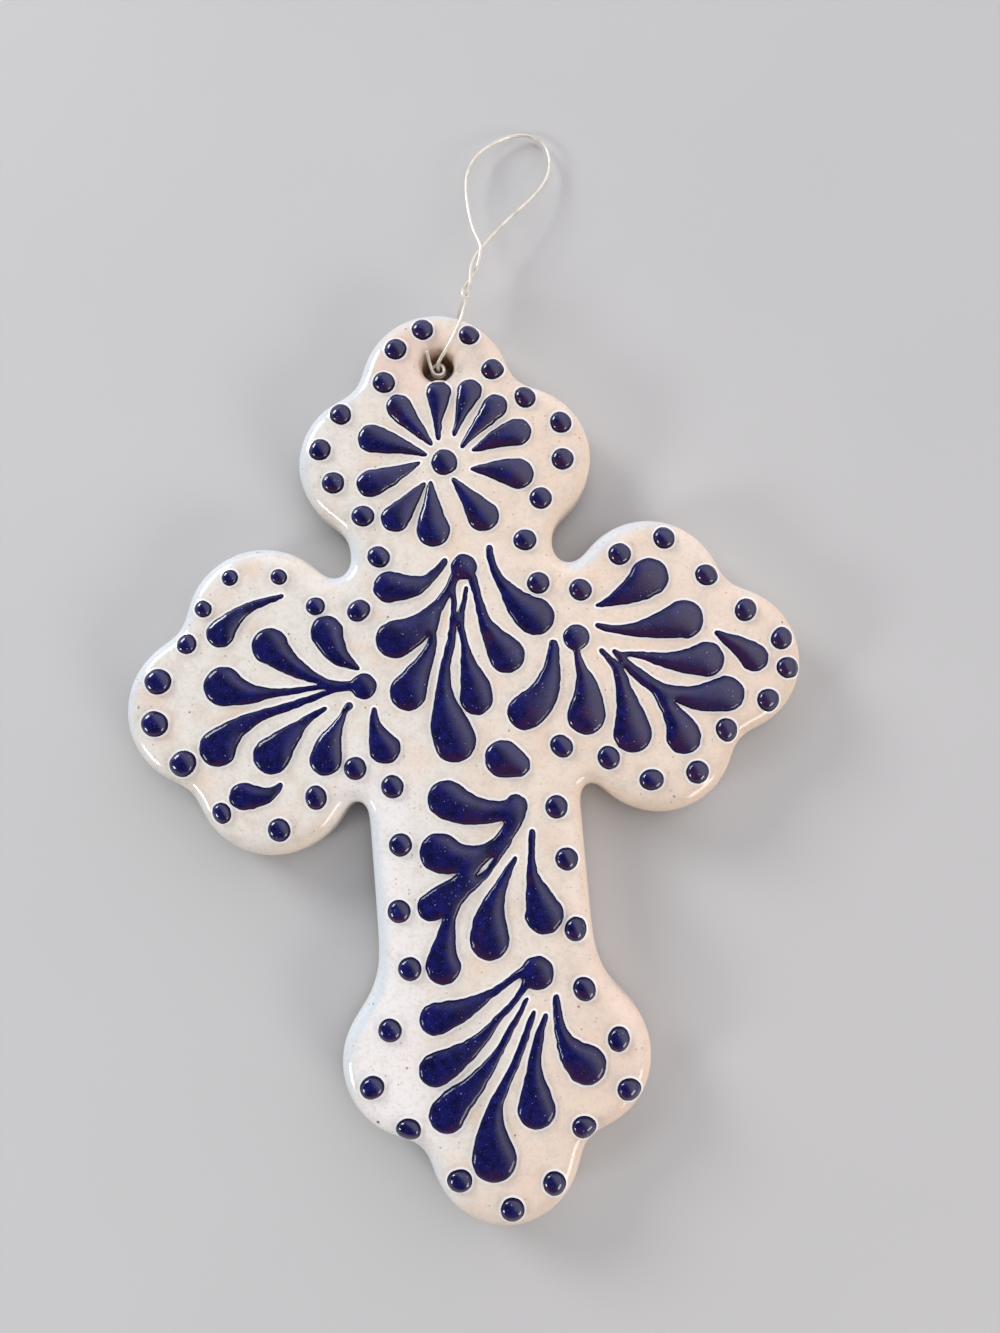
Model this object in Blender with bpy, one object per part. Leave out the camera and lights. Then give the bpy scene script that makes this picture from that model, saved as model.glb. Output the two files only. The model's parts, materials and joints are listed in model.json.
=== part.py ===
"""A glazed ceramic hanging cross with trefoil ends, raised enamel strokes and a twisted wire hanger.

Metres. The cross lies on its back: +Z leaves the front face, +Y runs to the hanging hole, and the origin
is on the back face where the limbs cross.
"""

import bisect
import math

import bmesh
import bpy
from mathutils import Vector

MM = 0.001

# Ceramic slab
HEAD_REACH = 66.6 * MM
ARM_REACH = 58.1 * MM
FOOT_REACH = 88.7 * MM
THICKNESS = 9.0 * MM
NECK_WIDTH = 35.1 * MM
NECK_OFFSET = -0.35 * MM
SHAFT_WIDTH = 36.0 * MM
FRONT_ROUND = 2.4 * MM
BACK_ROUND = 1.0 * MM
NOTCH_FILLET = 5.0 * MM
CORNER_FILLET = 2.0 * MM
ARMPIT_FILLET = 2.9 * MM
NECK_FILLET = 6.0 * MM
FLARE_FILLET = 15.0 * MM
FILLET_SPAN = 1.15
ARC_STEP = math.radians(12)

# Hanging hole
HOLE_RADIUS = 2.85 * MM
HOLE_DROP = 10.3 * MM
HOLE_RIM = 0.9 * MM
HOLE_SIDES = 24

# Raised enamel
SEAT_GAP = 0.3 * MM
STROKE_RISE = 1.15 * MM
STROKE_RISE_AT = 2.8 * MM
STROKE_STATIONS = 9
STROKE_SIDES = 5
DOT_RADIUS = 1.9 * MM
DOT_RISE = 1.2 * MM
DOT_ROOT = 2.0 * MM
DOT_SIDES = 8

# Wire hanger
WIRE_RADIUS = 0.325 * MM
WIRE_CLEARANCE = 0.3 * MM
HANGER_LEAN = math.radians(22)
STRAND_OFFSET = 0.56 * MM
COIL_RADIUS = 1.15 * MM
COIL_PITCH = 1.1 * MM
COIL_TURNS = 1.7
COIL_POINTS = 10
LEAST_WIRE_GAP = 0.4 * MM

# The three lobes of each end, in mm: offset across the limb, distance back from the limb's end, radius.
# A limb's first side lobe is the one met first going round anticlockwise.
TREFOILS = {
    "head": ((12.6, 27.3, 13.0), (-0.7, 13.4, 13.4), (-13.2, 26.2, 12.8)),
    "left": ((13.4, 24.2, 13.4), (-0.3, 13.6, 13.6), (-12.8, 24.4, 13.4)),
    "foot": ((-13.0, 27.2, 12.5), (0.4, 12.5, 12.5), (13.4, 26.0, 12.5)),
    "right": ((-11.6, 25.8, 13.0), (0.5, 12.9, 12.9), (12.9, 25.0, 13.2)),
}

# Border dots, in mm from the crossing, with a radius where it isn't the usual one.
BORDER_DOTS = (
    (-2.1, 63.0), (-7.1, 59.8), (6.0, 61.3, 1.8), (-9.6, 53.9), (9.6, 54.7), (-17.6, 48.9),
    (-21.6, 42.8), (-19.7, 36.7), (-15.0, 30.4), (14.8, 49.2), (20.6, 44.1), (20.3, 37.5),
    (15.9, 30.9),
    (-12.8, 23.0), (12.5, 23.8), (14.1, 16.1), (-16.9, 14.0), (-19.4, -12.7), (15.5, -12.0),
    (-13.4, -16.3), (-12.8, -26.0), (-13.9, -36.8), (13.7, -22.0), (14.6, -30.7),
    (-38.5, 21.6, 1.4), (-30.1, 21.0, 1.4), (-43.4, 16.6, 1.5), (-46.5, 10.8, 1.7), (-51.7, 4.8, 2.2),
    (-52.6, -2.3, 2.2), (-48.2, -9.4, 2.2), (-24.2, 15.4, 1.6), (-42.2, -18.2, 1.7), (-26.3, -17.0),
    (-32.8, -21.8),
    (21.2, 14.3), (28.5, 19.9), (36.4, 22.1), (43.0, 15.0), (49.0, 8.4), (54.6, 3.0), (55.1, -2.1),
    (51.1, -7.3), (43.5, -11.7), (37.8, -18.3), (30.0, -18.9), (23.2, -14.6),
    (-12.8, -46.2), (15.0, -42.2), (15.5, -51.9), (-16.8, -55.7), (-20.4, -64.4), (-15.0, -71.5),
    (-7.4, -80.0), (0.7, -85.2), (7.8, -81.8), (13.4, -73.6), (21.3, -68.4), (20.3, -60.3),
)

# How far the last dot of each limb lies from its end. The painted pattern spreads to keep to this.
LAST_DOT_INSET = {"head": 3.6 * MM, "left": 5.5 * MM, "right": 3.0 * MM, "foot": 3.5 * MM}


# Fans of strokes, in mm from the crossing. The hub holds a dot: its place and its radius.
# A stroke is a row of places from its tail to its head, each with half the stroke's width there.
# The strokes of a spray have run together, and the one named first gives it its name.
FANS = {
    "flower": ((-0.2, 38.7, 2.35), {
        "petal_01": ((-0.9, 42.9, 0.4), (-0.8, 44.8, 0.7), (-0.7, 46.9, 1.0), (-0.4, 49.2, 1.75), (-0.2, 51.4, 2.2)),
        "petal_02": ((1.9, 43.4, 0.4), (3.0, 46.0, 0.85), (4.1, 48.7, 1.6), (5.2, 51.0, 2.25)),
        "petal_03": ((3.0, 41.1, 0.4), (4.1, 42.4, 0.7), (6.1, 44.5, 1.25), (7.9, 46.2, 1.8), (9.4, 47.9, 2.25)),
        "petal_04": ((4.9, 40.4, 0.4), (6.1, 40.8, 0.8), (7.9, 41.5, 1.4), (10.2, 42.4, 2.0), (12.9, 43.0, 2.5)),
        "petal_05": ((4.4, 37.0, 0.4), (6.2, 36.9, 0.95), (8.0, 36.6, 1.6), (10.0, 36.2, 2.25), (12.3, 35.6, 2.8)),
        "petal_06": ((1.0, 35.6, 0.4), (2.0, 34.2, 0.85), (3.1, 32.6, 1.4), (4.3, 30.8, 2.1), (5.6, 28.7, 2.85)),
        "petal_07": ((-2.8, 35.4, 0.45), (-3.0, 33.5, 1.0), (-3.0, 31.1, 1.7), (-3.1, 28.9, 2.45), (-3.1, 26.9, 3.0)),
        "petal_08": ((-4.0, 35.2, 0.4), (-5.1, 34.0, 0.9), (-6.7, 32.3, 1.5), (-8.1, 30.8, 2.1), (-9.4, 29.55, 2.55)),
        "petal_09": ((-4.6, 39.0, 0.4), (-6.2, 38.3, 0.8), (-8.0, 37.6, 1.3), (-10.2, 36.9, 1.9), (-13.2, 36.0, 2.5)),
        "petal_10": ((-3.3, 40.3, 0.4), (-5.0, 41.1, 0.85), (-7.0, 42.0, 1.35), (-9.5, 43.0, 2.0), (-12.3, 44.0, 2.6)),
        "petal_11": ((-2.3, 42.1, 0.45), (-3.4, 43.7, 0.95), (-4.9, 45.7, 1.45), (-6.2, 47.5, 2.0), (-7.3, 49.3, 2.3)),
    }, ()),
    "centre_fan": ((1.65, 20.0, 2.3), {
        "stroke_01": (
            (-1.5, 21.3, 0.65), (-2.7, 20.0, 0.8), (-4.6, 18.4, 1.0), (-7.1, 17.4, 1.9), (-11.4, 17.6, 2.8),
        ),
        "stroke_02": ((0.0, 18.6, 0.9), (-1.9, 15.4, 0.85), (-4.5, 12.5, 1.45), (-7.6, 9.8, 2.6), (-11.1, 8.5, 3.35)),
        "stroke_03": (
            (-3.4, 12.3, 0.6), (-4.5, 9.2, 0.65), (-5.1, 6.6, 1.0), (-6.5, 4.1, 1.6), (-8.1, 1.7, 2.45),
            (-9.5, -0.6, 3.25),
        ),
        "stroke_04": (
            (-0.4, 17.6, 0.6), (-0.65, 13.5, 0.55), (-1.4, 8.0, 0.8), (-2.8, 3.6, 0.9), (-3.5, -1.6, 1.6),
            (-3.1, -6.2, 3.2), (-2.35, -9.6, 3.65),
        ),
        "stroke_05": (
            (1.75, 16.4, 0.45), (1.1, 13.8, 0.5), (0.2, 10.7, 0.75), (0.65, 6.8, 0.7), (1.0, 3.0, 1.5),
            (1.7, 0.0, 2.4), (1.9, -2.7, 2.9),
        ),
        "stroke_06": (
            (2.9, 18.2, 0.8), (3.6, 14.4, 0.75), (4.2, 11.0, 1.0), (5.2, 8.4, 1.7), (6.6, 6.0, 2.6), (7.6, 4.2, 3.15),
        ),
        "stroke_07": (
            (6.25, 23.0, 0.6), (6.5, 20.2, 0.72), (7.4, 17.6, 0.9), (9.0, 15.0, 1.6), (11.1, 12.0, 2.75),
            (13.1, 10.35, 3.3),
        ),
    }, (("hub", "stroke_02", "stroke_03", "stroke_04", "stroke_05", "stroke_06"),)),
    "left_fan": ((-17.0, 1.0, 2.3), {
        "stroke_01": (
            (-29.8, 17.6, 0.5), (-32.6, 17.0, 0.7), (-35.0, 16.3, 0.95), (-37.3, 15.2, 1.3), (-39.3, 13.6, 2.0),
            (-40.6, 12.1, 2.5),
        ),
        "stroke_02": (
            (-19.0, 1.6, 0.5), (-22.2, 1.9, 0.6), (-24.2, 2.7, 0.85), (-25.9, 3.5, 1.15), (-28.6, 5.4, 1.75),
            (-30.3, 6.9, 2.3), (-32.4, 9.2, 3.2),
        ),
        "stroke_03": ((-17.7, 4.0, 0.4), (-19.0, 5.0, 1.0), (-20.7, 6.5, 1.75), (-21.9, 8.6, 2.4), (-22.6, 10.8, 2.85)),
        "stroke_04": (
            (-19.0, 1.3, 0.45), (-23.6, 1.5, 0.45), (-28.0, 1.25, 0.62), (-32.0, 1.2, 0.8), (-35.0, 1.3, 1.5),
            (-37.6, 1.7, 2.25), (-40.6, 3.0, 3.45),
        ),
        "stroke_05": (
            (-19.2, 0.9, 0.45), (-22.4, 0.7, 0.5), (-25.5, -0.2, 0.7), (-30.0, -1.35, 0.8), (-33.6, -2.15, 0.9),
            (-36.6, -3.2, 1.35), (-39.6, -4.7, 2.0), (-42.1, -7.2, 3.3),
        ),
        "stroke_06": (
            (-23.7, -2.2, 0.4), (-25.8, -3.2, 0.65), (-27.8, -4.5, 1.05), (-29.6, -6.0, 1.75), (-31.5, -7.7, 2.6),
            (-33.2, -9.3, 3.25),
        ),
        "stroke_07": (
            (-19.6, -2.0, 0.7), (-20.4, -2.9, 0.55), (-21.2, -4.3, 0.75), (-22.4, -6.2, 1.4), (-23.5, -8.3, 2.3),
            (-24.3, -10.8, 2.8),
        ),
        "stroke_08": ((-15.5, -3.1, 0.5), (-15.6, -4.8, 0.8), (-15.3, -6.6, 1.45), (-14.8, -8.2, 2.15), (-14.2, -9.7, 2.75)),
        "stroke_09": ((-32.1, -14.4, 0.55), (-33.3, -15.4, 0.95), (-35.0, -16.0, 1.5), (-37.0, -15.9, 2.1), (-38.5, -15.7, 2.35)),
    }, (("hub", "stroke_02", "stroke_04", "stroke_05"),)),
    "right_fan": ((19.7, 6.2, 2.3), {
        "stroke_01": ((23.8, 11.4, 0.4), (26.2, 11.9, 1.0), (29.0, 13.0, 1.95), (31.4, 14.2, 2.85), (33.2, 15.5, 3.35)),
        "stroke_02": (
            (23.4, 7.95, 0.45), (25.4, 7.2, 0.7), (28.0, 6.75, 0.95), (31.5, 6.7, 1.7), (35.0, 7.1, 2.5),
            (38.3, 7.7, 3.4),
        ),
        "stroke_03": (
            (26.6, 2.7, 0.4), (29.5, 2.4, 0.62), (32.0, 1.65, 0.95), (35.0, 0.85, 1.5), (38.2, 0.45, 2.25),
            (41.4, 0.5, 3.1),
        ),
        "stroke_04": ((43.5, 4.9, 0.5), (45.4, 3.5, 1.15), (47.6, 1.95, 1.9), (49.5, 0.15, 2.5)),
        "stroke_05": (
            (25.9, 3.3, 0.5), (27.3, 1.6, 0.75), (28.2, 0.2, 1.05), (29.9, -1.3, 1.1), (31.8, -3.0, 1.15), (34.0, -4.1, 1.05),
            (36.5, -5.2, 1.6), (39.5, -5.9, 2.3), (44.2, -5.6, 3.05),
        ),
        "stroke_06": (
            (31.2, -2.4, 1.0), (32.7, -4.5, 1.05), (33.7, -6.4, 1.25), (34.9, -8.6, 1.95), (35.8, -10.6, 2.6),
            (36.1, -12.2, 3.0),
        ),
        "stroke_07": (
            (23.7, 3.6, 0.5), (24.9, 2.0, 0.65), (26.3, 0.0, 1.05), (26.7, -2.2, 1.3), (27.2, -5.2, 1.85),
            (27.6, -8.6, 2.75), (27.6, -10.9, 3.3),
        ),
        "stroke_08": (
            (19.6, 4.6, 0.5), (19.7, 2.4, 0.72), (20.1, 0.6, 1.1), (20.6, -2.2, 2.0), (20.5, -5.0, 2.85),
            (20.1, -7.2, 3.3),
        ),
        "stroke_09": (
            (15.7, 5.4, 0.9), (15.5, 3.4, 1.1), (14.9, 0.6, 1.7), (13.6, -2.4, 2.45), (11.8, -4.5, 2.95), (9.9, -5.75, 3.1),
        ),
    }, (("hub", "stroke_08"), ("stroke_05", "stroke_03", "stroke_06", "stroke_07"))),
    "shaft_fan": ((6.9, -21.4, 2.1), {
        "stroke_01": (
            (6.0, -21.7, 1.6), (4.2, -21.9, 1.8), (2.35, -21.8, 2.0), (0.15, -21.5, 2.4), (-1.8, -20.8, 2.85),
            (-3.2, -20.0, 3.15), (-4.5, -19.2, 3.3),
        ),
        "stroke_02": (
            (7.0, -22.3, 1.7), (5.9, -24.6, 1.4), (4.2, -26.6, 1.3), (2.2, -28.0, 1.4), (0.0, -28.8, 1.7),
            (-2.6, -29.1, 2.4), (-5.0, -28.5, 3.15), (-6.5, -27.85, 3.35),
        ),
        "stroke_03": (
            (2.3, -27.8, 0.95), (0.6, -29.5, 1.0), (-1.3, -31.2, 1.1), (-3.2, -32.8, 1.35), (-5.6, -34.6, 2.0),
            (-7.4, -36.0, 2.5), (-8.5, -36.5, 2.45),
        ),
        "stroke_04": (
            (5.2, -26.9, 0.7), (3.7, -28.8, 0.55), (2.1, -30.8, 0.55), (0.3, -32.6, 0.75), (-2.0, -34.0, 1.0),
            (-4.2, -35.7, 1.2), (-5.6, -38.3, 1.15), (-6.3, -41.0, 1.5), (-7.0, -43.6, 2.2), (-7.3, -46.3, 3.0),
        ),
        "stroke_05": (
            (6.1, -29.8, 0.4), (5.1, -31.2, 0.65), (3.9, -33.1, 0.95), (2.65, -35.2, 1.35), (1.75, -37.2, 1.95),
            (1.0, -39.3, 2.7), (0.65, -42.7, 3.35),
        ),
        "stroke_06": (
            (9.25, -25.7, 0.6), (8.85, -29.0, 0.62), (8.65, -31.6, 0.8), (8.75, -33.6, 1.3), (9.3, -35.8, 2.1),
            (10.0, -39.35, 3.3),
        ),
    }, (("hub", "stroke_01", "stroke_02", "stroke_03", "stroke_04"),)),
    "foot_fan": ((8.0, -48.7, 2.8), {
        "stroke_01": (
            (6.4, -47.7, 0.75), (3.0, -49.7, 0.6), (0.0, -51.4, 0.8), (-2.8, -52.7, 1.4), (-5.8, -53.8, 2.1),
            (-9.3, -54.6, 2.65),
        ),
        "stroke_02": (
            (6.6, -49.4, 0.8), (4.8, -51.8, 0.6), (2.9, -53.8, 0.6), (1.1, -55.3, 0.65), (-0.4, -56.8, 0.9),
            (-2.1, -58.4, 1.2), (-4.5, -60.0, 1.7), (-6.9, -61.3, 2.3), (-9.9, -62.6, 2.75),
        ),
        "stroke_03": (
            (6.0, -52.6, 0.35), (4.35, -55.2, 0.5), (3.0, -57.0, 0.6), (1.7, -59.1, 0.7), (0.35, -60.95, 0.8),
            (-1.1, -62.6, 1.15), (-2.25, -63.9, 1.45), (-4.2, -65.8, 1.9), (-6.5, -67.5, 2.5), (-8.6, -69.7, 3.0),
        ),
        "stroke_04": (
            (6.9, -54.8, 0.45), (5.7, -57.3, 0.58), (4.0, -60.9, 0.7), (2.1, -64.6, 0.85), (0.5, -66.8, 0.95),
            (-0.6, -69.1, 1.3), (-1.35, -71.7, 2.0), (-1.55, -74.4, 2.95), (-1.55, -77.2, 3.7),
        ),
        "stroke_05": (
            (8.75, -55.6, 0.5), (7.9, -57.4, 0.65), (7.2, -59.5, 0.85), (6.5, -61.8, 1.05), (6.15, -64.2, 1.4),
            (6.0, -66.4, 2.1), (5.95, -70.1, 3.2),
        ),
        "stroke_06": (
            (10.8, -52.7, 0.6), (10.75, -55.4, 0.78), (10.95, -57.7, 1.0), (11.5, -59.7, 1.5), (12.2, -61.1, 2.15),
            (13.1, -62.4, 2.75), (14.6, -63.8, 3.35),
        ),
    }, (("hub", "stroke_01", "stroke_02"),)),
}

# The one drop that belongs to no fan, in mm from the crossing.
LOOSE_DROP = ((8.0, -14.5, 2.2), (6.8, -13.9, 2.85), (5.6, -13.3, 3.35))

# The eye of the hanger, in mm: distance along the hanger from the hole's axis, and offset to its right.
EYE_POINTS = (
    (29.0, -2.7), (34.0, -5.3), (39.0, -7.0), (43.5, -6.8), (47.4, -4.7), (50.4, -1.7), (51.6, 1.6),
    (50.4, 5.0), (47.0, 7.0), (42.5, 7.2), (37.5, 5.4), (32.0, 2.7),
)
TWIST_START = 15.0 * MM
TWIST_END = 25.7 * MM
TWIST_EASE = 1.35
TWIST_POINTS = 12
TWIST_DROP_SHARE = 0.16
TWIST_HEIGHT = 5.0 * MM
EYE_DROP = 4.9 * MM


REACH = {"head": HEAD_REACH, "left": ARM_REACH, "right": ARM_REACH, "foot": FOOT_REACH}
OUTWARDS = {
    "head": Vector((0, 1)), "left": Vector((-1, 0)), "right": Vector((1, 0)), "foot": Vector((0, -1)),
}


def limb_end(limb):
    return OUTWARDS[limb] * REACH[limb]


def stretch(limb):
    """How far the pattern is spread towards the end of a limb, in metres for each mm that was drawn."""
    drawn = max(Vector(dot[:2]).dot(OUTWARDS[limb]) for dot in BORDER_DOTS)
    return (REACH[limb] - LAST_DOT_INSET[limb]) / drawn


def mark_size():
    """Metres for each mm of a mark's width: the least stretch, so that neighbours stay apart."""
    return min(stretch(limb) for limb in REACH)


def place_mark(place):
    """Where a mark lies that was drawn at this place, in mm, from the crossing."""
    drawn = Vector(place)
    across = stretch("right" if drawn.x > 0 else "left")
    along = stretch("head" if drawn.y > 0 else "foot")
    return Vector((drawn.x * across, drawn.y * along))


def lobe_circles(limb):
    """The lobes of one end, anticlockwise, as (centre, radius)."""
    end = limb_end(limb)
    inwards = -end.normalized()
    circles = []
    for across, back, radius in TREFOILS[limb]:
        offset = Vector((across, 0)) if limb in ("head", "foot") else Vector((0, across))
        circles.append((end + inwards * back * MM + offset * MM, radius * MM))
    return circles


def fillet_centre(first, second, radius):
    """Where a concave fillet between two neighbours has its centre. A neighbour is a lobe or a side."""
    sides = [n for n in (first, second) if n[0] == "side"]
    if not sides:
        (_, a, a_radius), (_, b, b_radius) = first, second
        to_a, to_b, apart = a_radius + radius, b_radius + radius, (b - a).length
        along = (to_a**2 - to_b**2 + apart**2) / (2 * apart)
        away = math.sqrt(to_a**2 - along**2)
        ahead = (b - a) / apart
        return a + ahead * along + Vector((ahead.y, -ahead.x)) * away
    _, x, middle = sides[0]
    _, centre, lobe_radius = next(n for n in (first, second) if n[0] == "lobe")
    room = abs(centre.x - x) - lobe_radius
    radius = max(radius, FILLET_SPAN * room / 2)
    line_x = x + math.copysign(radius, x)
    rise = math.sqrt((lobe_radius + radius) ** 2 - (line_x - centre.x) ** 2)
    return Vector((line_x, min(centre.y + rise, centre.y - rise, key=lambda y: abs(y - middle))))


def touch_point(neighbour, fillet):
    if neighbour[0] == "side":
        return Vector((neighbour[1], fillet.y))
    _, centre, radius = neighbour
    return centre + (fillet - centre).normalized() * radius


def arc(centre, start, end, turn):
    """Points and outward normals on an arc, leaving out its end. A convex arc turns +1, a fillet -1."""
    radius = (start - centre).length
    first = math.atan2(start.y - centre.y, start.x - centre.x)
    last = math.atan2(end.y - centre.y, end.x - centre.x)
    sweep = (turn * (last - first)) % math.tau
    steps = max(4 if turn < 0 else 6, math.ceil(sweep / ARC_STEP / (1 if turn > 0 else 2)))
    found = []
    for step in range(steps):
        angle = first + turn * sweep * step / steps
        out = Vector((math.cos(angle), math.sin(angle)))
        found.append((centre + out * radius, out * turn))
    return found


def cross_outline():
    """The slab's outline, anticlockwise, as (point, outward normal)."""
    lobes = {limb: [("lobe", *c) for c in lobe_circles(limb)] for limb in TREFOILS}
    neck_middle = lobes["head"][0][1].y / 2
    shaft_middle = lobes["foot"][0][1].y / 2
    neck = [("side", NECK_OFFSET + sign * NECK_WIDTH / 2, neck_middle) for sign in (-1, 1)]
    shaft = [("side", sign * SHAFT_WIDTH / 2, shaft_middle) for sign in (-1, 1)]
    chain = []

    def trefoil(limb, last_fillet):
        first, tip, second = lobes[limb]
        chain.extend(((first, NOTCH_FILLET), (tip, NOTCH_FILLET), (second, last_fillet)))

    trefoil("head", NECK_FILLET)
    chain.append((neck[0], ARMPIT_FILLET))
    trefoil("left", CORNER_FILLET)
    chain.append((shaft[0], FLARE_FILLET))
    trefoil("foot", FLARE_FILLET)
    chain.append((shaft[1], CORNER_FILLET))
    trefoil("right", ARMPIT_FILLET)
    chain.append((neck[1], NECK_FILLET))

    fillets = []
    for index, (neighbour, radius) in enumerate(chain):
        following = chain[(index + 1) % len(chain)][0]
        centre = fillet_centre(neighbour, following, radius)
        fillets.append((centre, touch_point(neighbour, centre), touch_point(following, centre)))
    outline = []
    for index, (neighbour, _) in enumerate(chain):
        before, after = fillets[index - 1], fillets[index]
        if neighbour[0] == "lobe":
            outline += arc(neighbour[1], before[2], after[1], 1)
        else:
            outline.append((before[2], Vector((math.copysign(1, neighbour[1]), 0))))
        outline += arc(after[0], after[1], after[2], -1)
    return outline


def ring_solid(mesh, rings):
    """Skins a row of closed rings that have equal numbers of points, and closes both ends."""
    skin = [[mesh.verts.new(point) for point in ring] for ring in rings]
    for lower, upper in zip(skin, skin[1:]):
        for index in range(len(lower)):
            after = (index + 1) % len(lower)
            mesh.faces.new((lower[index], lower[after], upper[after], upper[index]))
    mesh.faces.new(reversed(skin[0]))
    mesh.faces.new(skin[-1])


def add_object(name, mesh, material, helper=False):
    bmesh.ops.recalc_face_normals(mesh, faces=mesh.faces[:])
    data = bpy.data.meshes.new(name)
    mesh.to_mesh(data)
    mesh.free()
    data.materials.append(material)
    thing = bpy.data.objects.new(name, data)
    bpy.context.scene.collection.objects.link(thing)
    if helper:
        thing.hide_render = True
        thing.display_type = "WIRE"
    return thing


def boolean(thing, other, operation):
    cut = thing.modifiers.new(other.name, "BOOLEAN")
    cut.operation = operation
    cut.solver = "EXACT"
    cut.material_mode = "TRANSFER"
    cut.object = other


def make_material(name, colour, roughness, metallic=0.0):
    material = bpy.data.materials.new(name)
    material.use_nodes = True
    surface = material.node_tree.nodes["Principled BSDF"]
    surface.inputs["Base Color"].default_value = (*colour, 1.0)
    surface.inputs["Roughness"].default_value = roughness
    surface.inputs["Metallic"].default_value = metallic
    return material


def hole_centre():
    return Vector((0, HEAD_REACH - HOLE_DROP))


def slab_rings():
    """Rings of the slab from the back face to the front face, with both edges rounded."""
    outline = cross_outline()
    profile = [(BACK_ROUND, 0.0), (BACK_ROUND * 0.3, BACK_ROUND * 0.3), (0.0, BACK_ROUND)]
    for degrees in (0, 30, 60, 90):
        turn = math.radians(degrees)
        inset = FRONT_ROUND * (1 - math.cos(turn))
        profile.append((inset, THICKNESS - FRONT_ROUND * (1 - math.sin(turn))))
    return [[(*(point - out * inset), z) for point, out in outline] for inset, z in profile]


def circle(centre, radius, z, sides):
    turns = [math.tau * (side + 0.5) / sides for side in range(sides)]
    return [(centre.x + radius * math.cos(t), centre.y + radius * math.sin(t), z) for t in turns]


def make_slab(glaze, enamel):
    mesh = bmesh.new()
    ring_solid(mesh, slab_rings())
    slab = add_object("cross_body", mesh, glaze)

    mesh = bmesh.new()
    for x, y, *size in BORDER_DOTS:
        centre = place_mark((x, y))
        radius = size[0] * mark_size() if size else DOT_RADIUS
        rise = DOT_RISE * radius / DOT_RADIUS
        rings = (
            (radius, THICKNESS - DOT_ROOT),
            (radius, THICKNESS + 0.15 * rise),
            (0.76 * radius, THICKNESS + 0.75 * rise),
            (0.32 * radius, THICKNESS + rise),
        )
        ring_solid(mesh, [circle(centre, r, z, DOT_SIDES) for r, z in rings])
    dots = add_object("border_dots_shape", mesh, enamel, helper=True)
    boolean(slab, dots, "UNION")

    rim = [(HOLE_RADIUS + 0.4 * MM, -MM), (HOLE_RADIUS + 0.4 * MM, 0.0), (HOLE_RADIUS, 0.4 * MM)]
    for degrees in (0, 30, 60, 90):
        turn = math.radians(degrees)
        flare = HOLE_RIM * (1 - math.cos(turn))
        rim.append((HOLE_RADIUS + flare, THICKNESS - HOLE_RIM * (1 - math.sin(turn))))
    rim.append((HOLE_RADIUS + HOLE_RIM, THICKNESS + MM))
    mesh = bmesh.new()
    ring_solid(mesh, [circle(hole_centre(), r, z, HOLE_SIDES) for r, z in rim])
    boolean(slab, add_object("hanging_hole_cutter", mesh, glaze, helper=True), "DIFFERENCE")


def evenly(line, count):
    """So many points at equal steps along a line, with the direction at each."""
    walked = [0.0]
    for start, end in zip(line, line[1:]):
        walked.append(walked[-1] + (end - start).length)
    picked = []
    for step in range(count):
        reach = walked[-1] * step / (count - 1)
        after = min(max(1, bisect.bisect_left(walked, reach)), len(line) - 1)
        share = (reach - walked[after - 1]) / (walked[after] - walked[after - 1])
        picked.append((line[after - 1].lerp(line[after], share), line[after] - line[after - 1]))
    return picked


def stroke_rings(places):
    """Half-round sections from the tail of a stroke to the tip of its head."""
    row = [Vector((*place_mark(place[:2]), place[2] * mark_size())) for place in places]
    stations = []
    for spot, step in evenly(catmull_rom(row, 8), STROKE_STATIONS):
        stations.append((spot.xy, step.xy.normalized(), spot.z))
    tail, ahead, radius = stations[0]
    stations.insert(0, (tail - ahead * radius * 0.8, ahead, radius * 0.6))
    head, ahead, radius = stations[-1]
    for degrees in (35, 62, 82):
        turn = math.radians(degrees)
        stations.append((head + ahead * radius * math.sin(turn), ahead, radius * math.cos(turn)))
    base = THICKNESS + SEAT_GAP
    rings = []
    for place, ahead, radius in stations:
        side = Vector((ahead.y, -ahead.x))
        rise = STROKE_RISE * math.sqrt(radius / STROKE_RISE_AT)
        ring = []
        for step in range(STROKE_SIDES + 1):
            turn = math.pi * step / STROKE_SIDES
            spot = place + side * radius * math.cos(turn)
            ring.append((spot.x, spot.y, base + rise * math.sin(turn)))
        rings.append(ring)
    return rings


def make_stroke(name, places, enamel, helper=False):
    mesh = bmesh.new()
    ring_solid(mesh, stroke_rings(places))
    return add_object(name, mesh, enamel, helper)


def make_hub(name, centre, radius, enamel):
    base = THICKNESS + SEAT_GAP
    rise = STROKE_RISE * math.sqrt(radius / STROKE_RISE_AT)
    rings = ((radius, 0.0), (0.94 * radius, 0.4), (0.72 * radius, 0.8), (0.3 * radius, 1.0))
    mesh = bmesh.new()
    ring_solid(mesh, [circle(centre, r, base + share * rise, 14) for r, share in rings])
    return add_object(name, mesh, enamel)


def make_fan(fan, enamel):
    (x, y, radius), strokes, sprays = FANS[fan]
    follows = {name: spray[0] for spray in sprays for name in spray[1:]}
    made = {"hub": make_hub(f"{fan}_hub", place_mark((x, y)), radius * mark_size(), enamel)}
    for name, places in strokes.items():
        made[name] = make_stroke(f"{fan}_{name}", places, enamel, name in follows)
    for name, lead in follows.items():
        boolean(made[lead], made[name], "UNION")


def catmull_rom(points, steps):
    """A smooth line through the points, with the given number of steps between neighbours."""
    ends = [2 * points[0] - points[1], *points, 2 * points[-1] - points[-2]]
    line = []
    for before, start, end, after in zip(ends, ends[1:], ends[2:], ends[3:]):
        for step in range(steps):
            t = step / steps
            line.append(
                0.5
                * (
                    2 * start
                    + (end - before) * t
                    + (2 * before - 5 * start + 4 * end - after) * t**2
                    + (3 * start - before - 3 * end + after) * t**3
                )
            )
    return [*line, points[-1]]


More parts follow.
